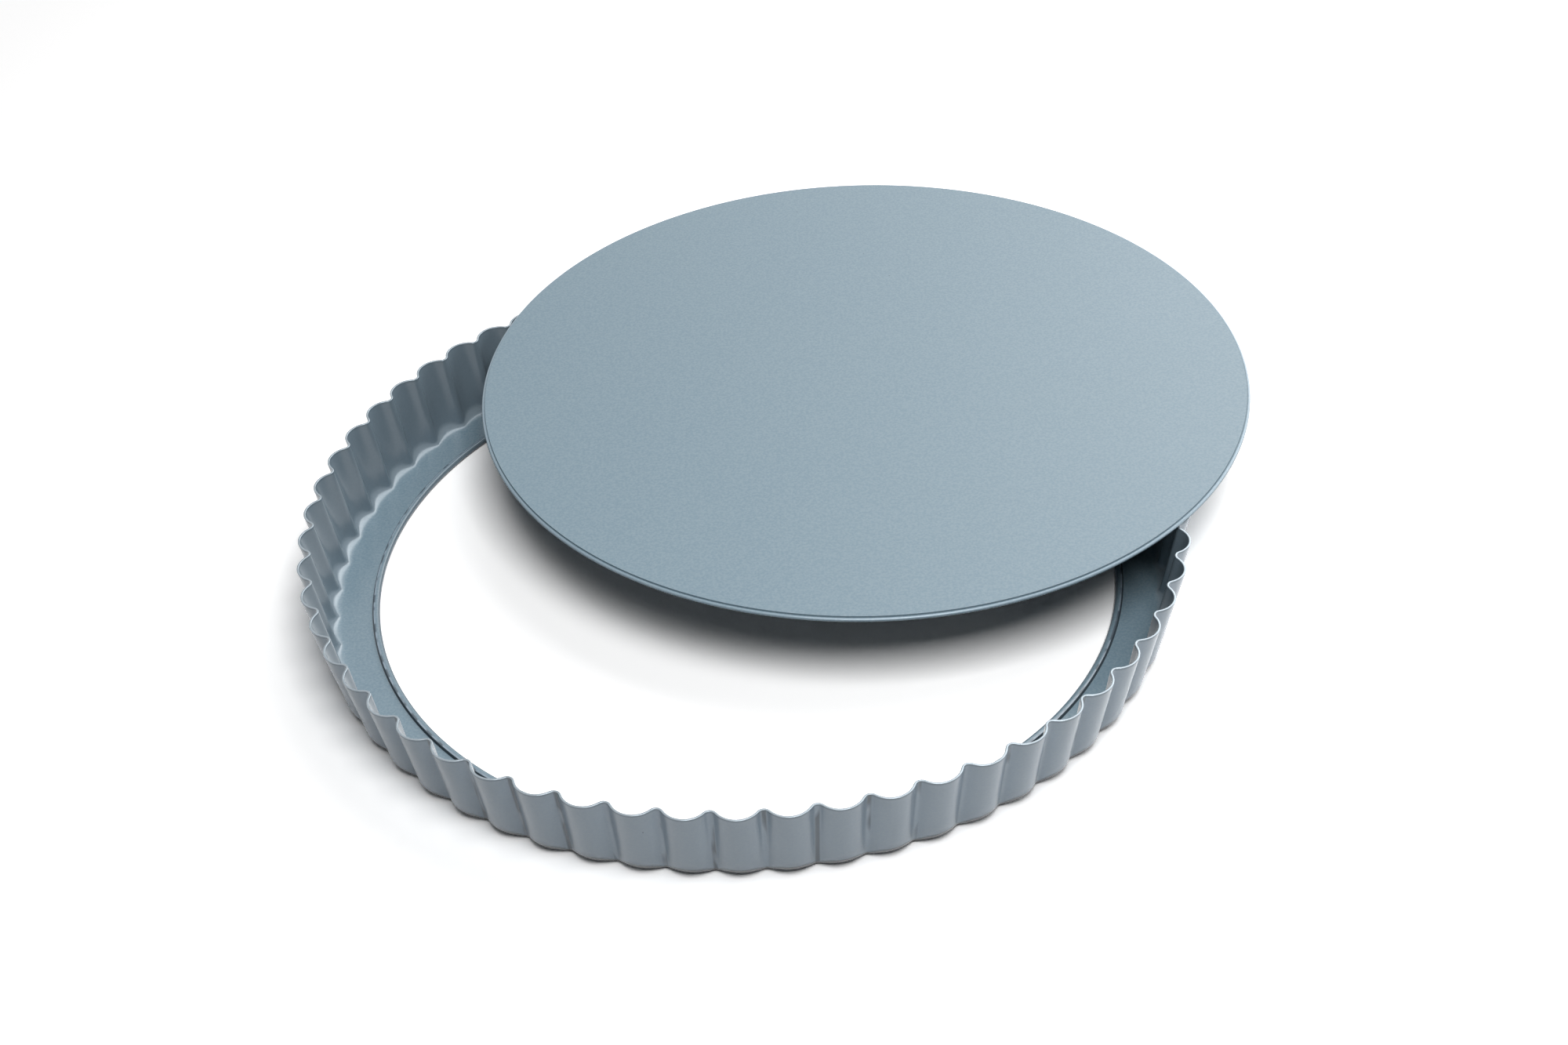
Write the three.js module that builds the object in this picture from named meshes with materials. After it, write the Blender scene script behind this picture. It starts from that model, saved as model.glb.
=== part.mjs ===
// Loose-bottom quiche pan: a fluted ring pressed from coated sheet steel, and its loose round base.
// The base is shown out of the ring, lying flat across the rim behind and to the right of the middle.
// Lengths are in millimetres and +Z is up. The pan stands on z = 0.
import * as THREE from 'three';
import { mergeVertices } from 'three/addons/utils/BufferGeometryUtils.js';

// Fluted ring: overall sizes
const rimDiameter = 280; // over the flute crests at the rim, outside
const footDiameter = 270; // over the flute crests at the floor, outside
const wallHeight = 28;
const ringSheet = 0.7;

// Fluted ring: flutes, broad arcs outward joined by tight arcs inward
const fluteCount = 60;
const rimFluteDepth = 3.6; // from crest to cusp
const footFluteDepth = 2.4;
const cuspRadius = 1.9; // of the tight arc, in the middle of the sheet
const firstCuspAngle = THREE.MathUtils.degToRad(1.5);

// Fluted ring: flange that carries the base, and the hem round its opening
const bendRadius = 1.6; // inside the bend from the flange to the wall
const flangeWidth = 16.5; // from the foot's crests to the opening
const hemWidth = 2.3; // folded strip on top of the flange
const hemNose = 0.45; // rounding of the hem's edge at the opening

// Loose base: a sheet disc with its edge hemmed under
const baseSheet = 0.75;
const baseClearance = 0.3; // all round, from the base's edge to the start of the ring's bend
const baseHemWidth = 6;

// Where the base lies, from the ring's axis
const baseShiftRight = 42;
const baseShiftBack = 66.5;
const restGap = 0.3; // between the rim and the base's underside

// Steps that the curves are drawn with
const cuspSteps = 1; // from the middle of a cusp to where its arc ends
const lobeSteps = 2; // from there to the crest
const bendSteps = 2;
const noseSteps = 4;
const baseColumns = 96;

// Sizes worked out from those above
const quarterTurn = Math.PI / 2;
const rimRadius = rimDiameter / 2;
const footRadius = footDiameter / 2;
const halfSheet = ringSheet / 2;
const bendHeight = ringSheet + bendRadius; // of the bend's centre above the floor
const bendReach = bendRadius + halfSheet; // from the middle of the wall in to the bend's centre
const openingRadius = footRadius - flangeWidth;
const hemHeight = 2 * ringSheet;
const halfFluteSteps = cuspSteps + lobeSteps;
const columnsPerFlute = 2 * halfFluteSteps;
const baseRadius = footRadius - halfSheet - footFluteDepth - bendReach - baseClearance;
const baseThickness = 2 * baseSheet;

// One step of a flute's outline at one height: how far round from the cusp, how far out, and its slope
function fluteStep(step, crestRadius, depth) {
  const meanRadius = crestRadius - depth / 2;
  const halfPitch = (Math.PI * meanRadius) / fluteCount;
  const sweep = 2 * Math.atan2(depth, halfPitch);
  const lobeRadius = halfPitch / Math.sin(sweep) - cuspRadius;
  const fromCusp = Math.min(step, columnsPerFlute - step);
  let along;
  let rise;
  let slope;
  if (fromCusp <= cuspSteps) {
    slope = (sweep * fromCusp) / cuspSteps;
    along = cuspRadius * Math.sin(slope);
    rise = cuspRadius * (1 - Math.cos(slope));
  } else {
    slope = (sweep * (halfFluteSteps - fromCusp)) / lobeSteps;
    along = halfPitch - lobeRadius * Math.sin(slope);
    rise = depth - lobeRadius * (1 - Math.cos(slope));
  }
  if (step > halfFluteSteps) {
    along = 2 * halfPitch - along;
    slope = -slope;
  }
  return { turn: along / meanRadius, radius: crestRadius - depth + rise, slope };
}

// A point of the fluted sheet, moved outward from the middle of the sheet by the given offset
function flutedPoint(column, height, offset) {
  const share = (height - bendHeight) / (wallHeight - bendHeight);
  const climb = Math.max(share, 0);
  const bendCrest = footRadius - halfSheet;
  const rimCrest = rimRadius - halfSheet;
  const crestRadius = THREE.MathUtils.lerp(bendCrest, rimCrest, climb);
  const depth = THREE.MathUtils.lerp(footFluteDepth, rimFluteDepth, climb);
  const flute = Math.floor(column / columnsPerFlute);
  const outline = fluteStep(column % columnsPerFlute, crestRadius, depth);
  const angle = firstCuspAngle + (flute * 2 * Math.PI) / fluteCount + outline.turn;
  const facing = angle - outline.slope;
  const x = outline.radius * Math.cos(angle) + offset * Math.cos(facing);
  const y = outline.radius * Math.sin(angle) + offset * Math.sin(facing);
  return new THREE.Vector3(x, y, height);
}

// A plain round point of the hem or the flange
function roundPoint(column, radius, height) {
  const columns = fluteCount * columnsPerFlute;
  const angle = firstCuspAngle + (column * 2 * Math.PI) / columns;
  return new THREE.Vector3(radius * Math.cos(angle), radius * Math.sin(angle), height);
}

// The ring's section as rows of points. A row is fluted, with an offset from the middle of the sheet,
// or round, with a radius. It runs out under the flange, up the outside and back down the inside.
function ringSection() {
  const rows = [];
  const bendRow = (radius, step) => {
    const angle = -quarterTurn + (quarterTurn * step) / bendSteps;
    const offset = radius * Math.cos(angle) - bendReach;
    rows.push({ height: bendHeight + radius * Math.sin(angle), offset });
  };
  rows.push({ height: 0, radius: openingRadius + hemNose });
  for (let step = 0; step <= bendSteps; step += 1) {
    bendRow(bendRadius + ringSheet, step);
  }
  rows.push({ height: wallHeight, offset: halfSheet });
  rows.push({ height: wallHeight, offset: -halfSheet });
  for (let step = bendSteps; step >= 0; step -= 1) {
    bendRow(bendRadius, step);
  }
  rows.push({ height: ringSheet, radius: openingRadius + hemWidth });
  rows.push({ height: hemHeight, radius: openingRadius + hemWidth });
  rows.push({ height: hemHeight, radius: openingRadius + hemNose });
  rows.push({ height: hemHeight - hemNose, radius: openingRadius });
  rows.push({ height: hemNose, radius: openingRadius });
  return rows;
}

// The ring is spun as a plain ring of this section, and its flutes are then pressed into it
function makeFlutedRing() {
  const rows = ringSection();
  const columns = fluteCount * columnsPerFlute;
  const spun = rows.map((row) => new THREE.Vector2(row.radius ?? footRadius + row.offset, row.height));
  spun.push(spun[0].clone());
  const geometry = new THREE.LatheGeometry(spun, columns);
  const position = geometry.getAttribute('position');
  for (let index = 0; index < position.count; index += 1) {
    const column = Math.floor(index / spun.length) % columns;
    const row = rows[(index % spun.length) % rows.length];
    const point = row.radius === undefined
      ? flutedPoint(column, row.height, row.offset)
      : roundPoint(column, row.radius, row.height);
    position.setXYZ(index, point.x, point.y, point.z);
  }
  return closed(geometry);
}

// The base is a flat disc. Its edge is folded under and back, so the edge is round and twice as thick.
function makeLooseBase() {
  const hemInside = baseRadius - baseHemWidth;
  const noseCentre = baseRadius - baseSheet;
  const profile = [new THREE.Vector2(0, baseSheet), new THREE.Vector2(hemInside, baseSheet)];
  profile.push(new THREE.Vector2(hemInside, 0));
  for (let step = 0; step <= noseSteps; step += 1) {
    const angle = -quarterTurn + (2 * quarterTurn * step) / noseSteps;
    const reach = noseCentre + baseSheet * Math.cos(angle);
    profile.push(new THREE.Vector2(reach, baseSheet + baseSheet * Math.sin(angle)));
  }
  profile.push(new THREE.Vector2(0, baseThickness));
  const geometry = new THREE.LatheGeometry(profile, baseColumns);
  geometry.rotateX(quarterTurn);
  return closed(geometry);
}

// Joins the points that the spun surface repeats at its seam, which closes the body
function closed(geometry) {
  geometry.deleteAttribute('normal');
  geometry.deleteAttribute('uv');
  const joined = mergeVertices(geometry);
  joined.computeVertexNormals();
  return joined;
}

// Satin blue-grey non-stick coating, a little lighter on the base
const ringCoating = new THREE.MeshStandardMaterial({ color: 0x84929c, roughness: 0.45, metalness: 0.2 });
const baseCoating = new THREE.MeshStandardMaterial({ color: 0x9aafbb, roughness: 0.5, metalness: 0.2 });

const flutedRing = new THREE.Mesh(makeFlutedRing(), ringCoating);
flutedRing.name = 'fluted_ring';

const looseBase = new THREE.Mesh(makeLooseBase(), baseCoating);
looseBase.name = 'loose_base';
looseBase.position.set(baseShiftRight, baseShiftBack, wallHeight + restGap);

// The origin is under the middle of the whole pan, with the base lying where it is
const pan = new THREE.Group();
pan.add(flutedRing, looseBase);
const reach = new THREE.Box3().setFromObject(pan);
const middle = reach.getCenter(new THREE.Vector3());
pan.position.set(-middle.x, -middle.y, -reach.min.z);

export default pan;
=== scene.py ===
# %% [markdown]
# # Loose-bottom quiche pan
# The pan comes apart into two pieces of coated sheet steel: a ring with a fluted wall, and a flat
# round base that drops into the ring and rests on its flange. Here the base is out, and lies across
# the rim. The CAD model is loaded first and gives both pieces' places and overall sizes, in metres.
# The pieces below are modelled over it with more detail, and then stand for it.

# %% Load the CAD frame
import math

import bmesh
import bpy
from mathutils import Matrix, Vector


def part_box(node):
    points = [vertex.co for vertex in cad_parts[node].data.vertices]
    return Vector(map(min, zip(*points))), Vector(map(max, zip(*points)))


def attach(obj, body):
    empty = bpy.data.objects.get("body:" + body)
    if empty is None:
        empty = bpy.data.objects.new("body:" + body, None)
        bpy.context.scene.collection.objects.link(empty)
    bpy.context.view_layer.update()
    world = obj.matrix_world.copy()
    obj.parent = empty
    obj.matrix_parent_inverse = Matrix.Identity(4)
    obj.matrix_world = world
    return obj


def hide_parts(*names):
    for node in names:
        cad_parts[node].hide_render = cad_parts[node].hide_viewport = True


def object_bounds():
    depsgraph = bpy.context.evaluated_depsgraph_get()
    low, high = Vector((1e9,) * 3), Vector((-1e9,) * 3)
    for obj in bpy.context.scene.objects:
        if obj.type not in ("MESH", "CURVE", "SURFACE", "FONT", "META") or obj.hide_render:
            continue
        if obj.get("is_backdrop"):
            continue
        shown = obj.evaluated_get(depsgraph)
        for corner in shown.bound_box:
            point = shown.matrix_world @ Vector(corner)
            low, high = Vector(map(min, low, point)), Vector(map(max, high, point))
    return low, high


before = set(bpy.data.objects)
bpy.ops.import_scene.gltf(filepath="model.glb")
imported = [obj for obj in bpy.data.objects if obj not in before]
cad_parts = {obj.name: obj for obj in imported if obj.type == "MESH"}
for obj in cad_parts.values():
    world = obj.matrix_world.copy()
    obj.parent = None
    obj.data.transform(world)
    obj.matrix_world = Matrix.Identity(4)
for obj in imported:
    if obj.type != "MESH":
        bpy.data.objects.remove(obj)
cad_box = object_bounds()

mm = 0.001
ring_low, ring_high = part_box("fluted_ring")
base_low, base_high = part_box("loose_base")
ring_middle = (ring_low + ring_high) / 2
base_middle = (base_low + base_high) / 2
print("ring", [round(side / mm, 2) for side in ring_high - ring_low], "mm")
print("base", [round(side / mm, 2) for side in base_high - base_low], "mm")

# %% [markdown]
# ## Camera
# A photograph's camera can be found from the round things in it, because a circle seen at a slant
# is an ellipse. The rim, the flange's opening and the base's edge gave the place, the tilt and the
# lens below. The camera leans a little to one side, so its roll is turned about its own line of
# sight before the tilt. Both angles are in radians.

# %% Photo camera
camera_from_ring = Vector((12.63, -515.61, 421.85)) * mm
look_down = 0.6654
roll = -0.0480
lens_mm = 47.006
film_width_mm = 36.0
nearest_seen = 10 * mm

camera_place = Vector((ring_middle.x, ring_middle.y, 0)) + camera_from_ring
camera_turn = Matrix.Rotation(math.pi / 2 - look_down, 3, "X") @ Matrix.Rotation(roll, 3, "Z")
bpy.ops.object.select_all(action="DESELECT")
bpy.ops.object.camera_add(location=camera_place, rotation=camera_turn.to_euler())
photo_camera = bpy.context.object
photo_camera.name = "photo_camera"
photo_camera.data.sensor_fit = "HORIZONTAL"
photo_camera.data.sensor_width = film_width_mm
photo_camera.data.lens = lens_mm
photo_camera.data.clip_start = nearest_seen
bpy.context.scene.camera = photo_camera
bpy.context.scene.view_settings.view_transform = "Standard"
print("camera at", [round(value, 4) for value in camera_place], "lens", lens_mm)

# %% [markdown]
# ## Tools for edit mode
# By hand, points and edges are picked with the mouse. In a script they are picked by where they
# are. One small function goes through the mesh that is being edited and selects what passes a test,
# after deselecting all the rest.

# %% Selecting by place
hair = 0.01 * mm


def radius_of(point):
    return math.hypot(point.x, point.y)


def pick(kind, test):
    bpy.ops.mesh.select_mode(type=kind)
    bpy.ops.mesh.select_all(action="DESELECT")
    mesh = bmesh.from_edit_mesh(bpy.context.edit_object.data)
    items = {"VERT": mesh.verts, "EDGE": mesh.edges, "FACE": mesh.faces}[kind]
    count = 0
    for item in items:
        corners = [item] if kind == "VERT" else item.verts
        if all(test(corner.co) for corner in corners):
            item.select_set(True)
            count += 1
    mesh.select_flush_mode()
    bmesh.update_edit_mesh(bpy.context.edit_object.data)
    return count


print("points less than", hair / mm, "mm apart count as one place")

# %% [markdown]
# ## Ring: lean and bend of the wall
# The wall leans outward from the foot to the rim, and its flutes get deeper on the way. Sheet steel
# is never folded sharp, so the wall bends into the flat flange. The flat ends in a plain circle,
# while the wall goes in and out. So the bend is wide under the crest of a flute and small under a
# tight arc, and the flutes fade out in it. At each height, the crest and the tight arc are where
# their own lean and bend have brought them.

# %% Lean and bend of the wall
wall_height = ring_high.z - ring_low.z
rim_radius = 140 * mm
foot_radius = 135 * mm
rim_depth = 3.6 * mm
foot_depth = 2.4 * mm
flat_radius = 130.4 * mm
bend_steps = 6


def lean_and_bend(at_foot, at_rim):
    slope = (at_rim - at_foot) / wall_height
    bend_angle = math.pi / 2 - math.atan(slope)
    reach = math.sin(bend_angle) - slope * (1 - math.cos(bend_angle))
    return slope, bend_angle, (at_foot - flat_radius) / reach


def wall_radius(at_foot, at_rim, height):
    slope, bend_angle, bend = lean_and_bend(at_foot, at_rim)
    if height < bend * (1 - math.cos(bend_angle)):
        return flat_radius + math.sqrt(2 * bend * height - height ** 2)
    return at_foot + slope * height


slope, bend_angle, crest_bend = lean_and_bend(foot_radius, rim_radius)
bend_angles = [bend_angle * step / bend_steps for step in range(1, bend_steps + 1)]
bend_heights = [crest_bend * (1 - math.cos(angle)) for angle in bend_angles]
print("lean", round(math.degrees(math.atan(slope)), 1), "degrees")
print("bend under a crest", round(crest_bend / mm, 2), "mm")

# %% [markdown]
# ## Ring: half a flute
# The wall is sixty flutes: broad arcs outwards, joined by tight arcs inwards. Each half flute is
# the mirror of the next, so only one is drawn. As with a pair of compasses, a point is spun round
# the centre of the broad arc and then, from where that ends, round the centre of the tight one. The
# outlines are of the sheet's outside, at several heights. The sheet gets its thickness later.

# %% Draw the outlines of half a flute
flute_count = 60
half_flute = math.pi / flute_count
broad_steps = 6
tight_steps = 3
tight_radius = 1.55 * mm
opening_radius = 118.5 * mm
hem_width = 2.2 * mm
hem_row = 0.9 * hem_width
collar = 0.8 * mm
up = (0, 0, 1)


def start_point(radius, height):
    bpy.ops.mesh.select_all(action="DESELECT")
    bpy.ops.mesh.primitive_plane_add(size=mm, location=(radius, 0, height))
    bpy.ops.mesh.merge(type="CENTER")


def spin_points(steps, angle, centre):
    bpy.ops.mesh.spin(steps=steps, angle=-angle, center=centre, axis=up)


def draw_half_flute(height):
    crest = wall_radius(foot_radius, rim_radius, height)
    tight = wall_radius(foot_radius - foot_depth, rim_radius - rim_depth, height)
    tight_reach = tight + tight_radius
    tight_x = tight_reach * math.cos(half_flute)
    tight_y = tight_reach * math.sin(half_flute)
    # The arcs meet without a corner if their centres are as far apart as both radii together
    apart = crest ** 2 + tight_reach ** 2 - 2 * tight_x * crest - tight_radius ** 2
    broad_radius = apart / (2 * (crest - tight_x + tight_radius))
    broad_x = crest - broad_radius
    sweep = math.atan2(tight_y, tight_x - broad_x)
    start_point(crest, height)
    spin_points(broad_steps, sweep, (broad_x, 0, height))
    spin_points(tight_steps, half_flute - sweep, (tight_x, tight_y, height))
    return crest - tight


bpy.ops.object.select_all(action="DESELECT")
bpy.ops.mesh.primitive_plane_add(size=mm)
ring = bpy.context.object
ring.name = "ring_sheet"
ring.data.name = "ring_sheet"
bpy.ops.object.mode_set(mode="EDIT")
bpy.ops.mesh.delete(type="VERT")
under_hem = opening_radius + hem_row
for radius in (opening_radius, under_hem, flat_radius):
    start_point(radius, 0)
    spin_points(broad_steps + tight_steps, half_flute, (0, 0, 0))
collar_height = wall_height - collar
for height in bend_heights + [collar_height, wall_height]:
    depth = draw_half_flute(height)
    print("outline at", round(height / mm, 2), "mm, flutes", round(depth / mm, 2), "mm deep")

# %% [markdown]
# ## Ring: wall and flange
# Two outlines with the same number of points are joined into a strip by Bridge Edge Loops, which
# can also cut the strip into rows. From the opening out to the flat's edge that gives the flange,
# then the bend, and from there up to the rim the wall.

# %% Bridge the outlines
flange_cuts = 3
wall_cuts = 6


def at_height(height):
    return lambda point: abs(point.z - height) < hair


def at_radius(radius):
    return lambda point: abs(point.z) < hair and abs(radius_of(point) - radius) < hair


def bridge(first, second, cuts=0):
    pick("EDGE", lambda point: first(point) or second(point))
    bpy.ops.mesh.bridge_edge_loops(number_cuts=cuts, interpolation="LINEAR")


bridge(at_radius(opening_radius), at_radius(under_hem))
bridge(at_radius(under_hem), at_radius(flat_radius), flange_cuts)
bridge(at_radius(flat_radius), at_height(bend_heights[0]))
for lower, upper in zip(bend_heights, bend_heights[1:]):
    bridge(at_height(lower), at_height(upper))
bridge(at_height(bend_heights[-1]), at_height(collar_height), wall_cuts)
bridge(at_height(collar_height), at_height(wall_height))
bpy.ops.object.mode_set(mode="OBJECT")
print("half a flute", len(ring.data.polygons), "faces")

# %% [markdown]
# ## Ring: all the flutes
# A Mirror modifier makes the half a whole flute. Spin then copies it round, and the points that
# meet are merged, or the wall would be sixty loose strips. Only the opening and the rim are left
# open.

# %% Mirror and spin
meeting = 0.002 * mm


def finish_with(piece, kind, **settings):
    bpy.context.view_layer.objects.active = piece
    bpy.ops.object.modifier_add(type=kind)
    modifier = piece.modifiers[-1]
    for name, value in settings.items():
        setattr(modifier, name, value)
    bpy.ops.object.modifier_apply(modifier=modifier.name)


finish_with(ring, "MIRROR", use_axis=(False, True, False), merge_threshold=meeting / 2)
bpy.ops.object.mode_set(mode="EDIT")
bpy.ops.mesh.select_all(action="SELECT")
copies = flute_count - 1
turn = 2 * half_flute * copies
bpy.ops.mesh.spin(steps=copies, dupli=True, angle=turn, center=(0, 0, 0), axis=up)
bpy.ops.mesh.select_all(action="SELECT")
bpy.ops.mesh.remove_doubles(threshold=meeting)
bpy.ops.mesh.normals_make_consistent(inside=False)
mesh = bmesh.from_edit_mesh(ring.data)
print("ring sheet", len(mesh.verts), "points", len(mesh.faces), "faces")
print("open edges", sum(len(edge.link_faces) == 1 for edge in mesh.edges), "at opening and rim")

# %% [markdown]
# ## Ring: hem
# The flange's inner edge would be sharp to the hand, so it is folded up and back on itself. The
# open edge is extruded up and then outward in two steps, of which the first rises and the second
# falls: a folded strip springs up a little in its middle, and that crown catches the light. Both
# corners at the opening get a bevel, each almost half the fold high, which makes the fold's round
# nose.

# %% Fold the hem
sheet = 0.7 * mm
fold_gap = 0.15 * mm
fold_height = 2 * sheet + fold_gap
nose_bevel = 0.49 * fold_height
nose_steps = 4
hem_crown = 0.25 * mm

print("opening edges", pick("EDGE", at_radius(opening_radius)))
bpy.ops.mesh.extrude_edges_move(TRANSFORM_OT_translate={"value": (0, 0, fold_height)})
reached = opening_radius
for width, rise in ((hem_width / 2, hem_crown), (hem_width, -hem_crown)):
    larger = (opening_radius + width) / reached
    bpy.ops.mesh.extrude_edges_move(TRANSFORM_OT_translate={"value": (0, 0, rise)})
    bpy.ops.transform.resize(value=(larger, larger, 1), center_override=(0, 0, 0))
    reached = opening_radius + width


def at_fold(point):
    level = min(abs(point.z), abs(point.z - fold_height))
    return level < hair and radius_of(point) < opening_radius + hair


pick("EDGE", at_fold)
mesh = bmesh.from_edit_mesh(ring.data)
for edge in mesh.edges:
    if abs(edge.verts[0].co.z - edge.verts[1].co.z) > hair:
        edge.select_set(False)
bmesh.update_edit_mesh(ring.data)
bpy.ops.mesh.bevel(offset=nose_bevel, segments=nose_steps, affect="EDGES", clamp_overlap=False)
bpy.ops.object.mode_set(mode="OBJECT")

# %% [markdown]
# ## Ring: thickness
# Both sides of the sheet could be drawn, but Solidify gives it its thickness at once, inwards from
# the outside that was drawn, and even on the tight bends. Its cut edge at the rim comes out square
# to the leaning wall, so the rim is scaled flat, as a trimming press leaves it. The cut edges are
# then rounded a little: a sharp edge would never catch the light as the real one does.

# %% Thicken the sheet and trim the rim
cut_rounding = 0.2 * mm
cut_steps = 3
sharp = math.radians(50)
hem_end = 0.3 * mm

finish_with(ring, "SOLIDIFY", thickness=sheet, offset=-1, use_even_offset=True, use_rim=True)
bpy.ops.object.mode_set(mode="EDIT")
pick("VERT", lambda point: point.z > wall_height - hair)
bpy.ops.transform.resize(value=(1, 1, 0), center_override=(0, 0, wall_height))

mesh = bmesh.from_edit_mesh(ring.data)
bpy.ops.mesh.select_mode(type="EDGE")
bpy.ops.mesh.select_all(action="DESELECT")
near_hem_end = opening_radius + hem_width - hem_end
cut_edges = 0
for edge in mesh.edges:
    corners = [vertex.co for vertex in edge.verts]
    on_rim = all(abs(point.z - wall_height) < hair for point in corners)
    around = abs(radius_of(corners[0]) - radius_of(corners[1])) < hair
    raised = all(sheet < point.z < 2 * fold_height for point in corners)
    on_hem_end = around and raised and all(radius_of(point) > near_hem_end for point in corners)
    if edge.calc_face_angle(0) > sharp and (on_rim or on_hem_end):
        edge.select_set(True)
        cut_edges += 1
bmesh.update_edit_mesh(ring.data)
bpy.ops.mesh.bevel(offset=cut_rounding, segments=cut_steps, affect="EDGES", clamp_overlap=False)
bpy.ops.object.mode_set(mode="OBJECT")
print("cut edges rounded", cut_edges)

# %% [markdown]
# ## Ring: in its place
# The ring was modelled round the origin, because every circle there has a simple centre. It is now
# turned, so that its flutes stand where the CAD model's do, and moved to the ring's place. Both are
# done to the mesh in edit mode, so the object itself stays at the origin, unturned.

# %% Turn and move the ring
first_tight_bend = math.radians(1.5)
turn = half_flute - first_tight_bend

bpy.ops.object.mode_set(mode="EDIT")
bpy.ops.mesh.select_all(action="SELECT")
bpy.ops.transform.rotate(value=turn, orient_axis="Z", center_override=(0, 0, 0))
bpy.ops.transform.translate(value=(ring_middle.x, ring_middle.y, 0))
bpy.ops.object.mode_set(mode="OBJECT")
bpy.ops.object.shade_smooth_by_angle(angle=sharp)

rim = [vertex.co for vertex in ring.data.vertices if vertex.co.z > wall_height - hair]
tightest = min((point - ring_middle for point in rim), key=lambda point: round(radius_of(point), 5))
past_start = math.degrees(math.atan2(tightest.y, tightest.x)) % math.degrees(2 * half_flute)
print("a tight bend at", round(past_start, 2), "degrees past a flute's start")
ring.data.calc_loop_triangles()
print("ring triangles", len(ring.data.loop_triangles))
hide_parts("fluted_ring")
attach(ring, "ring")

# %% [markdown]
# ## Base: disc and step
# The base is a disc of sheet with its edge folded under, so the edge is twice as thick as the
# sheet. It could be spun from a profile, but a disc is closed from the start, so a filled circle is
# extruded to that thickness. Near the edge the press leaves a fine step down to a ledge, and
# outside that a lower bead. Insets draw the loops for this on the top face, and the outer loops are
# lowered.

# %% Disc with a step near its edge
base_radius = (base_high.x - base_low.x) / 2
base_thickness = base_high.z - base_low.z
round_steps = 360
bead = 0.65 * mm
bead_spare = 0.05 * mm
bead_width = bead + bead_spare
bead_drop = 0.4 * mm
ledge_width = 0.3 * mm
ledge_drop = 0.45 * mm
step_width = 0.12 * mm
step_radius = base_radius - bead_width - ledge_width
edge_row = 1 * mm

bpy.ops.object.select_all(action="DESELECT")
bottom = (base_middle.x, base_middle.y, base_low.z)
bpy.ops.mesh.primitive_circle_add(
    vertices=round_steps, radius=base_radius, fill_type="NGON", location=bottom)
base = bpy.context.object
base.name = "base_disc"
base.data.name = "base_disc"
bpy.ops.object.transform_apply(location=True, rotation=False, scale=False)
bpy.ops.object.mode_set(mode="EDIT")
bpy.ops.mesh.select_all(action="SELECT")
bpy.ops.mesh.extrude_region_move(TRANSFORM_OT_translate={"value": (0, 0, base_thickness)})
bpy.ops.mesh.select_all(action="SELECT")
bpy.ops.mesh.normals_make_consistent(inside=False)


def on_top(low, high):
    top = base_high.z - hair
    return lambda point: point.z > top and low < radius_of(point - base_middle) < high


pick("FACE", on_top(0, 2 * base_radius))
for width in (bead_width, ledge_width, step_width, edge_row):
    bpy.ops.mesh.inset(thickness=width)
step_foot = (step_radius - step_width / 2, step_radius + step_width / 2)
print("points at the foot of the step", pick("VERT", on_top(*step_foot)))
bpy.ops.transform.translate(value=(0, 0, -ledge_drop))
print("points of the bead", pick("VERT", on_top(step_foot[1], 2 * base_radius)))
bpy.ops.transform.translate(value=(0, 0, -bead_drop))

# %% [markdown]
# ## Base: fold and bead
# Underneath, an inset as wide as the fold is pushed up by one sheet. The two outer edges are then
# bevelled. The upper one becomes the round bead, which catches the light as a bright line, and the
# lower one the turn of the fold.

# %% Fold underneath and bead
base_sheet = base_thickness / 2
base_fold = 6 * mm
bead_steps = 7
fold_rounding = 0.4 * mm
fold_steps = 4

pick("FACE", lambda point: point.z < base_low.z + hair)
bpy.ops.mesh.inset(thickness=edge_row)
bpy.ops.mesh.inset(thickness=base_fold - edge_row)
bpy.ops.mesh.extrude_region_move(TRANSFORM_OT_translate={"value": (0, 0, base_sheet)})


def at_outer_edge(level):
    outside = base_radius - hair
    return lambda point: abs(point.z - level) < hair and radius_of(point - base_middle) > outside


bead_level = base_high.z - bead_drop
for level, rounding, steps in (
        (bead_level, bead, bead_steps),
        (base_low.z, fold_rounding, fold_steps)):
    print("outer edges rounded", pick("EDGE", at_outer_edge(level)))
    bpy.ops.mesh.bevel(offset=rounding, segments=steps, affect="EDGES", clamp_overlap=False)
bpy.ops.object.mode_set(mode="OBJECT")
bpy.ops.object.shade_smooth_by_angle(angle=sharp)
base.data.calc_loop_triangles()
print("base triangles", len(base.data.loop_triangles), "radius", round(base_radius / mm, 2), "mm")
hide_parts("loose_base")
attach(base, "base")

# %% [markdown]
# ## Finish: nodes and colours
# A material is a tree of nodes. One function adds a node of any kind, gives its inputs a number, a
# colour or a link from another node, and hands back the output that is needed next. Colours are
# written as on a screen, in hex, and turned to the linear light that the renderer counts in.

# %% Nodes and colours
thin_coat = "#748c9a"


def linear(hex_code):
    parts = [int(hex_code[i:i + 2], 16) / 255 for i in (1, 3, 5)]
    return [p / 12.92 if p <= 0.04045 else ((p + 0.055) / 1.055) ** 2.4 for p in parts] + [1.0]


def add_node(tree, kind, output=None, inputs=None, **settings):
    node = tree.nodes.new("ShaderNode" + kind)
    for name, value in settings.items():
        setattr(node, name, value)
    for name, value in (inputs or {}).items():
        if isinstance(value, bpy.types.NodeSocket):
            tree.links.new(value, node.inputs[name])
        else:
            node.inputs[name].default_value = value
    return None if output is None else node.outputs[output]


def start_material(name):
    material = bpy.data.materials.new(name)
    material.use_nodes = True
    material.node_tree.nodes.clear()
    return material, material.node_tree


print("thin coat in linear light", [round(part, 3) for part in linear(thin_coat)[:3]])

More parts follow.
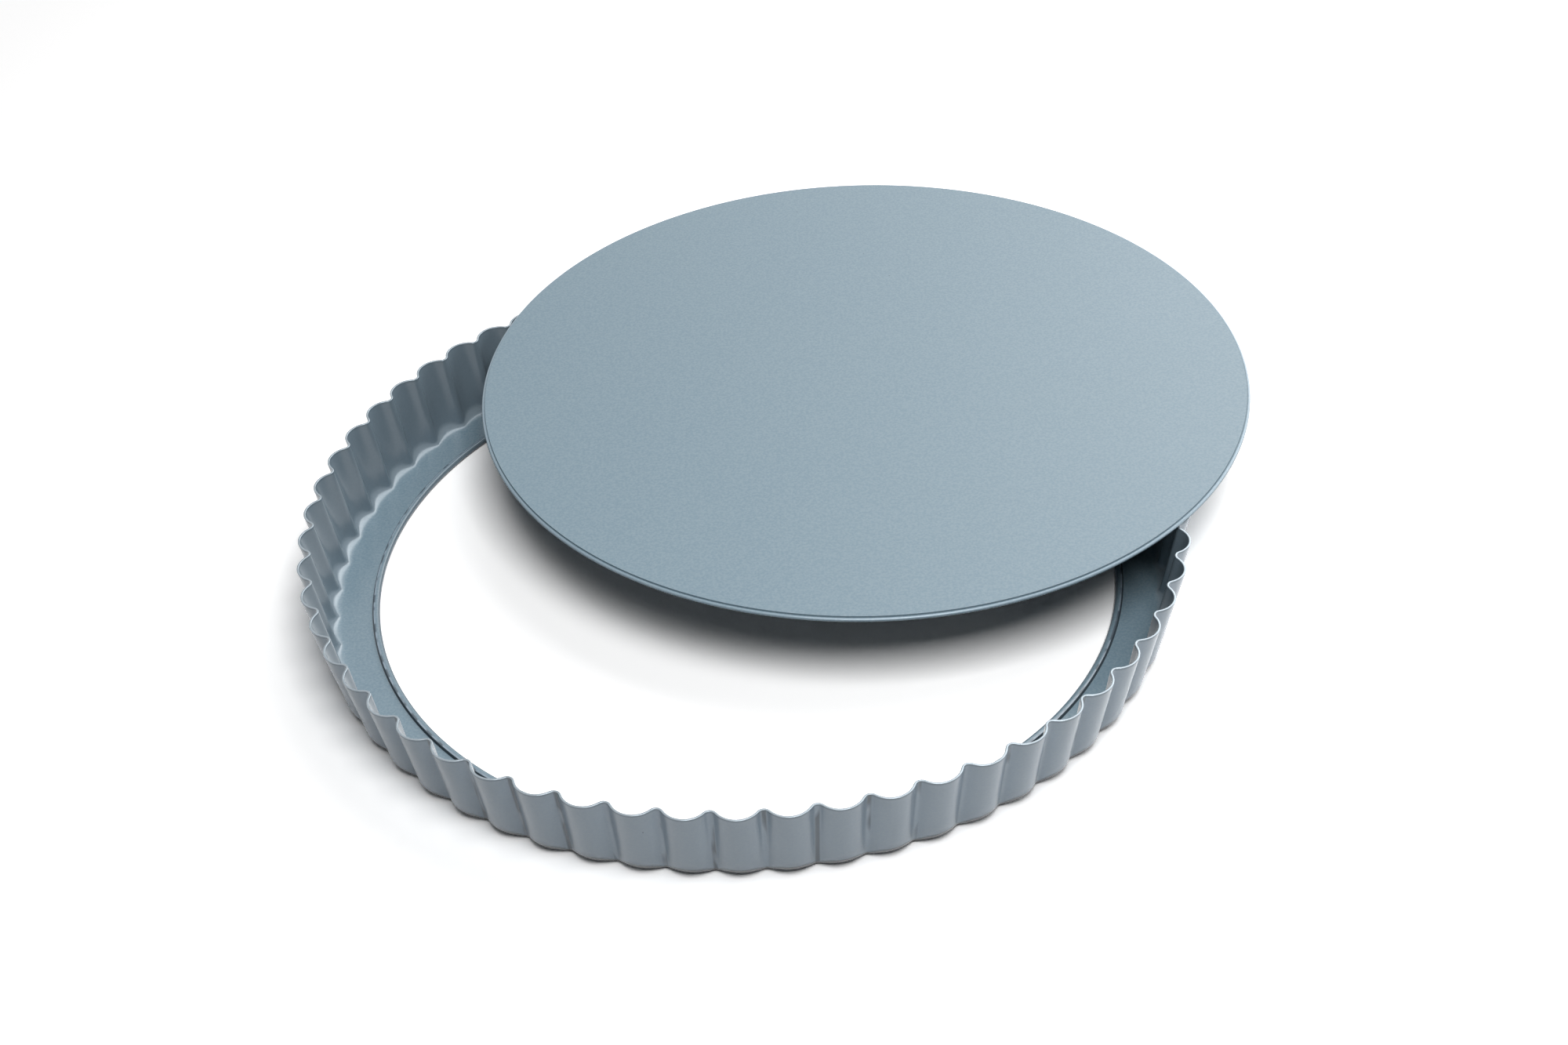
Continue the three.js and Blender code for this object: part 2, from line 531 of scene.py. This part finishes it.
# %% [markdown]
# ## Finish: non-stick coating
# Before it is pressed, the sheet gets a coat of grey-blue silicone enamel from a roller, and is
# baked. The coat is satin and takes up more of the light around it than a paint does, so its own
# colour is darker than it looks. Its tone drifts where the roller laid it thicker, it has a fine
# grain and a faint orange-peel surface, and here and there a speck.
#
# It could be painted on an unwrapped surface. Here it is built up as the real one is, in layers
# that are found by place, so nothing is unwrapped and every flute gets its own. A layer is a value
# on the surface, the two ends between which it comes in, the most that it covers, and its colour.
# These layers are the same on both pieces, apart from the one on the sheet's other side.

# %% Layers of the coating
thick_from, thick_to = 0.25, 0.75
drift_size = 45 * mm
# The real grain is about 0.1 mm. It is drawn coarser, so that a picture of the whole pan shows it.
grain_size = 0.8 * mm
speck_spacing = 14 * mm
peel_size = 1.4 * mm
peel_depth = 0.02 * mm
peel_strength = 0.5


def lay_coating(tree, place, other_side, smoothest, roughest):
    drift = add_node(tree, "TexNoise", "Fac", {
        "Vector": place, "Scale": 1 / drift_size, "Detail": 3})
    grain = add_node(tree, "TexNoise", "Fac", {
        "Vector": place, "Scale": 1 / grain_size, "Detail": 2})
    specks = add_node(tree, "TexVoronoi", "Distance", {"Vector": place, "Scale": 1 / speck_spacing})
    peel = add_node(tree, "TexNoise", "Fac", {
        "Vector": place, "Scale": 1 / peel_size, "Detail": 2})
    layers = [
        (drift, thick_from, thick_to, 1, "#778e9b"),
        other_side,
        (grain, 0.35, 0.65, 0.24, "#a3b2ba"),
        (specks, 0.02, 0.01, 0.8, "#3a434a"),
    ]
    gloss = add_node(tree, "MapRange", "Result", {
        "Value": drift, "From Min": thick_from, "From Max": thick_to,
        "To Min": smoothest, "To Max": roughest})
    bumps = add_node(tree, "Bump", "Normal", {
        "Strength": peel_strength, "Distance": peel_depth, "Height": peel})
    return layers, gloss, bumps


print("grain", round(grain_size / mm, 1), "mm, orange peel", round(peel_size / mm, 1), "mm")

# %% [markdown]
# ## Finish: layers laid
# Each layer is mixed over those before it, as far as it covers. The shader then gets the colour,
# the roughness, the bumps and the share of bare metal. Where a mark sits is often a matter of how
# far it is from the piece's axis, so a small function finds the way out from that axis.

# %% Lay the layers
coating_index = 1.58


def finish_coat(piece, material, layers, gloss, bumps, metal):
    tree = material.node_tree
    tone = linear(thin_coat)
    for value, low, high, most, colour in layers:
        share = add_node(tree, "MapRange", "Result", {
            "Value": value, "From Min": low, "From Max": high, "To Max": most})
        # A Mix node's sockets for colours are inputs 6 and 7 and output 2
        tone = add_node(tree, "Mix", 2, {0: share, 6: tone, 7: linear(colour)}, data_type="RGBA")
    coating = add_node(tree, "BsdfPrincipled", "BSDF", {
        "Base Color": tone, "Roughness": gloss, "Normal": bumps,
        "Metallic": metal, "IOR": coating_index})
    add_node(tree, "OutputMaterial", inputs={"Surface": coating})
    piece.data.materials.clear()
    piece.data.materials.append(material)
    print(material.name, len(layers), "layers", len(tree.nodes), "nodes")


def from_axis(tree, place, middle):
    axis = (middle.x, middle.y, 0)
    shifted = add_node(tree, "VectorMath", "Vector", {0: place, 1: axis}, operation="SUBTRACT")
    return add_node(
        tree, "VectorMath", "Vector", {0: shifted, 1: (1, 1, 0)}, operation="MULTIPLY")


print("coating's index of refraction", coating_index)

# %% [markdown]
# ## Base: finish
# The base is coated all over and has no bare edge, because its edge is folded under. Its underside
# has a plain dark coat, laid where the surface faces down. The foot of the step is painted darker,
# as shade. The bead's upper half is painted lighter, as a highlight, and is made a little shinier
# with a touch of metal, where hands rub it. Both are found by how far a point is from the base's
# axis.

# %% Coat the base
base_smoothest, base_roughest = 0.44, 0.48
bead_inside, bead_crown = base_radius - bead_width, base_radius - 0.7 * bead
upper_from, upper_to = 0.2, 0.5
rubbed_shine = 0.2
rubbed_bare = 0.08

material, tree = start_material("non_stick_coating_base")
place = add_node(tree, "TexCoord", "Object")
facing_up = add_node(tree, "SeparateXYZ", "Z", {"Vector": add_node(tree, "TexCoord", "Normal")})
outward = from_axis(tree, place, base_middle)
out = add_node(tree, "VectorMath", "Value", {0: outward}, operation="LENGTH")
underside = (facing_up, -0.5, -0.8, 1, "#3f4346")
layers, gloss, bumps = lay_coating(tree, place, underside, base_smoothest, base_roughest)

# The foot of the step is painted darker here, as shade.
step_shade = add_node(
    tree, "Math", 0, {0: out, 1: step_radius, 2: ledge_width / 2}, operation="COMPARE")
# The bead's upper half is painted lighter, as a highlight; its lower roughness and touch of metal are
# rubbing wear.
on_bead = add_node(tree, "MapRange", "Result", {
    "Value": out, "From Min": bead_inside, "From Max": bead_crown})
upper_half = add_node(tree, "MapRange", "Result", {
    "Value": facing_up, "From Min": upper_from, "From Max": upper_to})
rubbed_and_highlight = add_node(tree, "Math", 0, {0: on_bead, 1: upper_half}, operation="MULTIPLY")
# Painted shade at the step's foot, then a painted highlight on the bead's upper half.
layers += [(step_shade, 0, 1, 0.3, "#3d4a53"), (rubbed_and_highlight, 0, 1, 0.35, "#bdd2e0")]
gloss = add_node(
    tree, "Math", 0, {0: rubbed_and_highlight, 1: -rubbed_shine, 2: gloss}, operation="MULTIPLY_ADD")
metal = add_node(tree, "Math", 0, {0: rubbed_and_highlight, 1: rubbed_bare}, operation="MULTIPLY")
finish_coat(base, material, layers, gloss, bumps, metal)

# %% [markdown]
# ## Ring: finish of its sides
# The press irons the ring's coat smoother than the base's. The sheet's outside has a lighter,
# greyer coat, laid where the surface faces away from the ring's axis. Inside, where the wall faces
# the axis, it is painted darker, as shade. Where the surface faces down, under the foot's bend and
# the flange, it is painted near black, as contact shadow.

# %% Coat the ring's sides
ring_smoothest, ring_roughest = 0.2, 0.24
outside_from, outside_to = 0.075, 0.225

material, tree = start_material("non_stick_coating_ring")
place = add_node(tree, "TexCoord", "Object")
normal = add_node(tree, "TexCoord", "Normal")
facing_up = add_node(tree, "SeparateXYZ", "Z", {"Vector": normal})
outward = from_axis(tree, place, ring_middle)
out = add_node(tree, "VectorMath", "Value", {0: outward}, operation="LENGTH")
straight_out = add_node(tree, "VectorMath", "Vector", {0: outward}, operation="NORMALIZE")
facing_out = add_node(
    tree, "VectorMath", "Value", {0: normal, 1: straight_out}, operation="DOT_PRODUCT")
outside = add_node(tree, "MapRange", "Result", {
    "Value": facing_out, "From Min": outside_from, "From Max": outside_to})
outer_coat = (outside, 0, 1, 1, "#97a7b5")
layers, gloss, bumps = lay_coating(tree, place, outer_coat, ring_smoothest, ring_roughest)
# Painted shade: where the wall faces the axis it is painted darker.
inner_wall_shade = (facing_out, -0.22, -0.67, 0.8, "#717f89")
# Painted contact shadow: surfaces that face down are painted near black.
underside_shade = (facing_up, -0.2, -0.35, 0.9, "#24272c")
print("sides", len(layers), "layers, roughness", ring_smoothest, "to", ring_roughest)

# %% [markdown]
# ## Ring: highlight in the bend
# Inside the foot's bend the coat is painted a little lighter, as a highlight, and gets some of the
# metal's shine, where the press tool's edge burnishes the coat as the sheet slides round it. So the
# bend shows as a row of bright scallops. It is found by how its surface turns from facing up to
# facing in, past the flat's edge and low down: the shares of all four limits are multiplied.

# %% Painted highlight in the bend
# The share by which the bend is painted lighter is a painted highlight; the shine is metal.
bend_highlight_share = 0.22
burnish_shine = 0.06

height = add_node(tree, "SeparateXYZ", "Z", {"Vector": place})
bend_highlight_limits = (
    (facing_up, 0.25, 0.5),
    (facing_up, 0.995, 0.9),
    (out, flat_radius - 1 * mm, flat_radius + 0.5 * mm),
    (height, 8 * mm, 6 * mm),
)
burnish_and_highlight = 1
for value, low, high in bend_highlight_limits:
    within = add_node(tree, "MapRange", "Result", {
        "Value": value, "From Min": low, "From Max": high})
    burnish_and_highlight = add_node(tree, "Math", 0, {0: burnish_and_highlight, 1: within}, operation="MULTIPLY")
print("bend burnished by", bend_highlight_share, "within", len(bend_highlight_limits), "limits")

# %% [markdown]
# ## Ring: streaks and crease
# The tight bends of the wall are darker in short streaks. They are found by how far a point is
# outside the tight bends, whose radius grows with the height, and a noise drawn out along the wall
# breaks them up. The crease beside the hem is painted as one dark line of shade.

# %% Streaks and crease
streak_reach, streak_core = 0.25 * mm, 0.04 * mm
streak_size = 5 * mm
drawn_up = (1, 1, 0.3)
gap_end, streak_start = 0.47, 0.6
hem_edge = opening_radius + hem_width
crease_reach = 0.24 * mm
crease_low, crease_high = 0.4 * mm, 0.6 * mm

# Short dark streaks: the colour is darker just outside the tight bends, broken up by a noise.
tight_out = add_node(tree, "MapRange", "Result", {
    "Value": height, "From Max": wall_height,
    "To Min": foot_radius - foot_depth, "To Max": rim_radius - rim_depth})
past_tight = add_node(tree, "Math", 0, {0: out, 1: tight_out}, operation="SUBTRACT")
near = add_node(tree, "MapRange", "Result", {
    "Value": past_tight, "From Min": streak_reach, "From Max": streak_core})
in_bend = add_node(tree, "Math", 0, {0: near, 1: outside}, operation="MULTIPLY")
along_wall = add_node(tree, "Mapping", "Vector", {"Vector": place, "Scale": drawn_up})
patches = add_node(tree, "TexNoise", "Fac", {
    "Vector": along_wall, "Scale": 1 / streak_size, "Detail": 1})
broken = add_node(tree, "MapRange", "Result", {
    "Value": patches, "From Min": gap_end, "From Max": streak_start})
streaks = add_node(tree, "Math", 0, {0: in_bend, 1: broken}, operation="MULTIPLY")

# Painted shade: the crease beside the hem is one dark line.
beside_hem = add_node(
    tree, "Math", 0, {0: out, 1: hem_edge, 2: crease_reach}, operation="COMPARE")
above = add_node(tree, "MapRange", "Result", {
    "Value": height, "From Min": crease_low, "From Max": crease_high})
crease_shade = add_node(tree, "Math", 0, {0: beside_hem, 1: above}, operation="MULTIPLY")
print("crease at", round(hem_edge / mm, 2), "mm from the axis")

# %% [markdown]
# ## Ring: rim
# The rim is trimmed last, so its cut edge is bare and shows as a bright line, with a band of
# painted shade just below it. Both follow the height alone. With them the ring has all its layers,
# and they are laid in the order of the list.

# %% Rim, and all layers laid
# A band just below the rim is painted darker, as shade.
rim_shade_from, rim_shade_to = wall_height - 0.85 * mm, wall_height - 0.5 * mm
bare_from, bare_to = wall_height - 0.16 * mm, wall_height - 0.05 * mm
bare_share = 0.45

layers += [
    # Painted shade where the inner wall faces the axis.
    inner_wall_shade,
    (streaks, 0, 1, 0.75, "#39444c"),
    # Painted contact shadow where the surface faces down.
    underside_shade,
    # Painted shade in the crease beside the hem.
    (crease_shade, 0, 1, 1, "#414c54"),
    # Painted shade in a band just below the rim.
    (height, rim_shade_from, rim_shade_to, 0.5, "#5b6b76"),
    (height, bare_from, bare_to, bare_share, "#c3cbd0"),
    # Painted highlight in the foot's bend.
    (burnish_and_highlight, 0, 1, bend_highlight_share, "#c9d8e2"),
]
bare = add_node(tree, "MapRange", "Result", {
    "Value": height, "From Min": bare_from, "From Max": bare_to, "To Max": bare_share})
metal = add_node(
    tree, "Math", 0, {0: burnish_and_highlight, 1: burnish_shine, 2: bare}, operation="MULTIPLY_ADD")
finish_coat(ring, material, layers, gloss, bumps, metal)

# %% [markdown]
# ## Stage: floor
# A white floor runs far past the picture. Seen by the camera and in reflections it is as bright as
# in an ordinary product picture, where white paper is a little overexposed, and it still takes the
# pan's shadow. To the light that it throws back at the pan it is plain paper. Far from the pan,
# where the soft boxes don't reach, it fades into the white surround, as a paper sweep does.

# %% Floor
floor_size = 8
paper, overexposed = 0.58, 1.5
fade_start, fade_end = 0.4, 0.75
white = (1, 1, 1, 1)

bpy.ops.object.select_all(action="DESELECT")
bpy.ops.mesh.primitive_plane_add(size=floor_size, location=(0, 0, 0))
floor = bpy.context.object
floor.name = "studio_floor"
floor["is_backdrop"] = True


def seen_rays(tree):
    seen = add_node(tree, "LightPath", "Is Camera Ray")
    for ray in ("Is Glossy Ray", "Is Transmission Ray"):
        other = add_node(tree, "LightPath", ray)
        seen = add_node(tree, "Math", 0, {0: seen, 1: other}, operation="MAXIMUM")
    return seen


material, tree = start_material("white_studio_floor")
seen = seen_rays(tree)
shade = add_node(tree, "MapRange", "Result", {
    "Value": seen, "To Min": paper, "To Max": overexposed})
matt = add_node(tree, "BsdfDiffuse", "BSDF", {"Color": shade})
place = add_node(tree, "TexCoord", "Object")
from_pan = add_node(tree, "VectorMath", "Value", {0: place}, operation="LENGTH")
far = add_node(tree, "MapRange", "Result", {
    "Value": from_pan, "From Min": fade_start, "From Max": fade_end})
fade = add_node(tree, "Math", 0, {0: far, 1: seen}, operation="MULTIPLY")
glow = add_node(tree, "Emission", "Emission", {"Color": white, "Strength": 1})
sweep = add_node(tree, "MixShader", "Shader", {0: fade, 1: matt, 2: glow})
add_node(tree, "OutputMaterial", inputs={"Surface": sweep})
floor.data.materials.append(material)
print("floor", floor_size, "m wide, fades from", fade_start, "m to", fade_end, "m")

# %% [markdown]
# ## Stage: surround and light
# The surround is white too, but only to the camera and in reflections. The light on the pan comes
# from four soft boxes, as in a small studio: one above the front, one high behind, one low behind,
# and one low on the right, whose reflection lightens that side of the base. They are large, so that
# their reflection in the satin coat stays soft when it is seen at a flat angle. Each has a place in
# metres, a width, a height and its watts, and is turned towards the pan.

# %% Surround and soft boxes
surround_light, surround_seen = 0.02, 1
soft_boxes = (
    ("softbox_over_front", (0.1, -0.47, 0.99), 0.6, 0.6, 8),
    ("softbox_high_behind", (0.45, 0.54, 0.85), 0.9, 0.9, 5.7),
    ("softbox_low_behind", (0.67, 0.96, 0.43), 2.2, 0.84, 3.9),
    ("softbox_low_right", (1.03, 0.594, 0.386), 2.0, 0.76, 6.1),
)

world = bpy.data.worlds.new("white_surround")
bpy.context.scene.world = world
world.use_nodes = True
tree = world.node_tree
tree.nodes.clear()
level = add_node(tree, "MapRange", "Result", {
    "Value": seen_rays(tree), "To Min": surround_light, "To Max": surround_seen})
sky = add_node(tree, "Background", "Background", {"Color": white, "Strength": level})
add_node(tree, "OutputWorld", inputs={"Surface": sky})

for name, spot, width, tall, watts in soft_boxes:
    bpy.ops.object.light_add(type="AREA", location=spot)
    light = bpy.context.object
    light.name = name
    light.rotation_euler = Vector(spot).to_track_quat("Z", "Y").to_euler()
    light.data.shape = "RECTANGLE"
    light.data.size = width
    light.data.size_y = tall
    light.data.energy = watts
    print(name, watts, "W from", round(Vector(spot).length, 2), "m")

# %% [markdown]
# ## Sizes
# The detailed pieces must stay inside the CAD model's box, or the part would no longer fit where
# the CAD model does. Both boxes are printed.

# %% Sizes and finish
visual_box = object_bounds()
boxes = {"cad": [list(corner) for corner in cad_box], "visual": [list(corner) for corner in visual_box]}
for name, box in boxes.items():
    print(name, "box", [[round(side / mm, 2) for side in corner] for corner in box], "mm")
